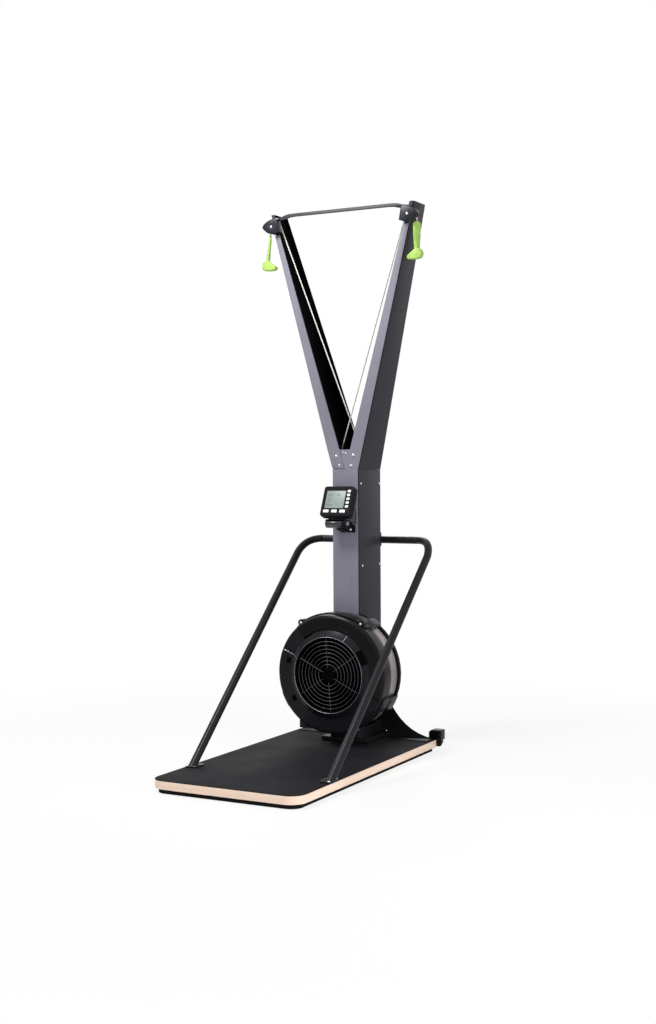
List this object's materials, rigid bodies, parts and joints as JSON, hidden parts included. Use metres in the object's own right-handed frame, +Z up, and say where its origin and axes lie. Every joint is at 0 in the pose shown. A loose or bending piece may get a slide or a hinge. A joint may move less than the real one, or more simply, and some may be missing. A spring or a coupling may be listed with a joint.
{
  "type": "ski trainer machine",
  "caption": "Upright machine on a deck with two raised arms, spring-return pull cords with moulded handles, and a caged air flywheel with a damper.",
  "frame": {"origin": "middle of the footprint, on the floor", "axes": "+X to the user's right, +Y from the user towards the column, +Z up"},
  "size_m": [0.6996, 1.159, 2.1295],
  "materials": {
    "birch_plywood": "clear-coated plywood edge",
    "black_rubber": "fine matt grain",
    "dark_powder_coat": "satin powder coat",
    "grey_powder_coat": "satin powder coat",
    "black_powder_coat": "satin powder coat",
    "black_plastic": "smooth moulded",
    "grey_plastic": "smooth moulded",
    "satin_steel": "satin",
    "bright_steel": "turned",
    "green_plastic": "smooth moulded",
    "braided_cord": "tight braid",
    "display_window": "reflective display behind a clear window",
    "white_rubber": "soft keys"
  },
  "bodies": {
    "frame": {"deck_board": "birch_plywood", "deck_mat": "black_rubber", "foot_rail_left": "black_rubber", "foot_rail_right": "black_rubber", "foot_rail_front": "black_rubber", "return_bungee": "black_rubber", "column_channel": "dark_powder_coat", "arm_channel_left": "dark_powder_coat", "arm_channel_right": "dark_powder_coat", "support_tube": "dark_powder_coat", "column_front": "grey_powder_coat", "arm_strip_left": "grey_powder_coat", "junction_bracket": "black_powder_coat", "head_plate_left": "black_powder_coat", "head_plate_right": "black_powder_coat", "cross_brace": "black_powder_coat", "base_bracket": "black_powder_coat", "cage_support": "black_powder_coat", "tube_clamp": "black_powder_coat", "monitor_bracket": "black_powder_coat", "head_housing_left": "black_plastic", "head_housing_right": "black_plastic", "cage_front": "black_plastic", "cage_grille": "black_plastic", "cage_rear": "black_plastic", "wheel_hood_left": "black_plastic", "wheel_hood_right": "black_plastic", "monitor_cable": "black_plastic", "mesh_band": "satin_steel", "front_bearing": "bright_steel", "rear_bearing": "bright_steel", "drive_cord_left": "braided_cord", "drive_cord_right": "braided_cord"},
    "flywheel": {"flywheel": "satin_steel", "flywheel_axle": "bright_steel"},
    "drum_left": {"drive_drum_left": "grey_plastic"},
    "drum_right": {"drive_drum_right": "grey_plastic"},
    "top_pulley_left": {"top_pulley_left": "black_plastic"},
    "top_pulley_right": {"top_pulley_right": "black_plastic"},
    "idler_left": {"idler_pulley_left": "black_plastic"},
    "idler_right": {"idler_pulley_right": "black_plastic"},
    "handle_left": {"handle_left": "green_plastic", "drop_cord_left": "braided_cord"},
    "handle_right": {"handle_right": "green_plastic", "drop_cord_right": "braided_cord"},
    "wheel_left": {"transport_wheel_left": "black_rubber"},
    "wheel_right": {"transport_wheel_right": "black_rubber"},
    "damper": {"damper_band": "grey_plastic"},
    "monitor": {"monitor_housing": "black_plastic", "monitor_screen": "display_window", "hinge_barrel": "black_plastic"},
    "knob": {"hinge_knob": "grey_plastic"},
    "side_button_1": {"side_button_1": "white_rubber"},
    "side_button_2": {"side_button_2": "white_rubber"},
    "side_button_3": {"side_button_3": "white_rubber"},
    "side_button_4": {"side_button_4": "white_rubber"},
    "side_button_5": {"side_button_5": "white_rubber"},
    "lower_button_1": {"lower_button_1": "white_rubber"},
    "lower_button_2": {"lower_button_2": "white_rubber"},
    "lower_button_3": {"lower_button_3": "white_rubber"}
  },
  "joints": [
    {"name": "flywheel_spin", "type": "hinge", "parent": "frame", "child": "flywheel", "pos_m": [0, 0.2685, 0.328], "axis": [0, 1, 0], "continuous": true},
    {"name": "handle_left_pull", "type": "slide", "parent": "frame", "child": "handle_left", "axis": [0, 0, -1], "range_m": [0, 1.2], "stiffness_N_per_m": 12.5, "springref_m": -1.2, "deforming": ["drop_cord_left"]},
    {"name": "top_pulley_left_turn", "type": "hinge", "parent": "frame", "child": "top_pulley_left", "pos_m": [-0.2966, 0.3195, 2.078], "axis": [0, -1, 0], "range_deg": [0, 2940]},
    {"name": "idler_left_turn", "type": "hinge", "parent": "frame", "child": "idler_left", "pos_m": [0.027, 0.3985, 1.176], "axis": [0, -1, 0], "range_deg": [0, 3821]},
    {"name": "drum_left_turn", "type": "hinge", "parent": "frame", "child": "drum_left", "pos_m": [0, 0.4125, 0.328], "axis": [0, -1, 0], "range_deg": [0, 1619]},
    {"name": "handle_right_pull", "type": "slide", "parent": "frame", "child": "handle_right", "axis": [0, 0, -1], "range_m": [0, 1.2], "stiffness_N_per_m": 12.5, "springref_m": -1.2, "deforming": ["drop_cord_right"]},
    {"name": "top_pulley_right_turn", "type": "hinge", "parent": "frame", "child": "top_pulley_right", "pos_m": [0.2966, 0.3195, 2.078], "axis": [0, 1, 0], "range_deg": [0, 2940]},
    {"name": "idler_right_turn", "type": "hinge", "parent": "frame", "child": "idler_right", "pos_m": [-0.027, 0.3865, 1.176], "axis": [0, 1, 0], "range_deg": [0, 3821]},
    {"name": "drum_right_turn", "type": "hinge", "parent": "frame", "child": "drum_right", "pos_m": [0, 0.3755, 0.328], "axis": [0, 1, 0], "range_deg": [0, 1619]},
    {"name": "wheel_left_roll", "type": "hinge", "parent": "frame", "child": "wheel_left", "pos_m": [-0.294, 0.5555, 0.039], "axis": [1, 0, 0], "continuous": true},
    {"name": "wheel_right_roll", "type": "hinge", "parent": "frame", "child": "wheel_right", "pos_m": [0.294, 0.5555, 0.039], "axis": [1, 0, 0], "continuous": true},
    {"name": "damper_turn", "type": "hinge", "parent": "frame", "child": "damper", "pos_m": [0, 0.3105, 0.328], "axis": [0, 1, 0], "range_deg": [0, 25]},
    {"name": "monitor_tilt", "type": "hinge", "parent": "frame", "child": "monitor", "pos_m": [0, 0.2825, 0.908], "axis": [1, 0, 0], "range_deg": [0, 35]},
    {"name": "knob_turn", "type": "hinge", "parent": "frame", "child": "knob", "pos_m": [0.036, 0.2825, 0.908], "axis": [1, 0, 0], "continuous": true},
    {"name": "side_button_1_press", "type": "slide", "parent": "monitor", "child": "side_button_1", "axis": [0, 0.9212, -0.3891], "range_m": [0, 0.001], "stiffness_N_per_m": 400},
    {"name": "side_button_2_press", "type": "slide", "parent": "monitor", "child": "side_button_2", "axis": [0, 0.9212, -0.3891], "range_m": [0, 0.001], "stiffness_N_per_m": 400},
    {"name": "side_button_3_press", "type": "slide", "parent": "monitor", "child": "side_button_3", "axis": [0, 0.9212, -0.3891], "range_m": [0, 0.001], "stiffness_N_per_m": 400},
    {"name": "side_button_4_press", "type": "slide", "parent": "monitor", "child": "side_button_4", "axis": [0, 0.9212, -0.3891], "range_m": [0, 0.001], "stiffness_N_per_m": 400},
    {"name": "side_button_5_press", "type": "slide", "parent": "monitor", "child": "side_button_5", "axis": [0, 0.9212, -0.3891], "range_m": [0, 0.001], "stiffness_N_per_m": 400},
    {"name": "lower_button_1_press", "type": "slide", "parent": "monitor", "child": "lower_button_1", "axis": [0, 0.9212, -0.3891], "range_m": [0, 0.001], "stiffness_N_per_m": 400},
    {"name": "lower_button_2_press", "type": "slide", "parent": "monitor", "child": "lower_button_2", "axis": [0, 0.9212, -0.3891], "range_m": [0, 0.001], "stiffness_N_per_m": 400},
    {"name": "lower_button_3_press", "type": "slide", "parent": "monitor", "child": "lower_button_3", "axis": [0, 0.9212, -0.3891], "range_m": [0, 0.001], "stiffness_N_per_m": 400}
  ],
  "couplings": [
    {"joint": "top_pulley_left_turn", "follows": "handle_left_pull", "rad_per_m": 42.735},
    {"joint": "idler_left_turn", "follows": "handle_left_pull", "rad_per_m": 55.556},
    {"joint": "drum_left_turn", "follows": "handle_left_pull", "rad_per_m": 23.529},
    {"joint": "top_pulley_right_turn", "follows": "handle_right_pull", "rad_per_m": 42.735},
    {"joint": "idler_right_turn", "follows": "handle_right_pull", "rad_per_m": 55.556},
    {"joint": "drum_right_turn", "follows": "handle_right_pull", "rad_per_m": 23.529}
  ]
}
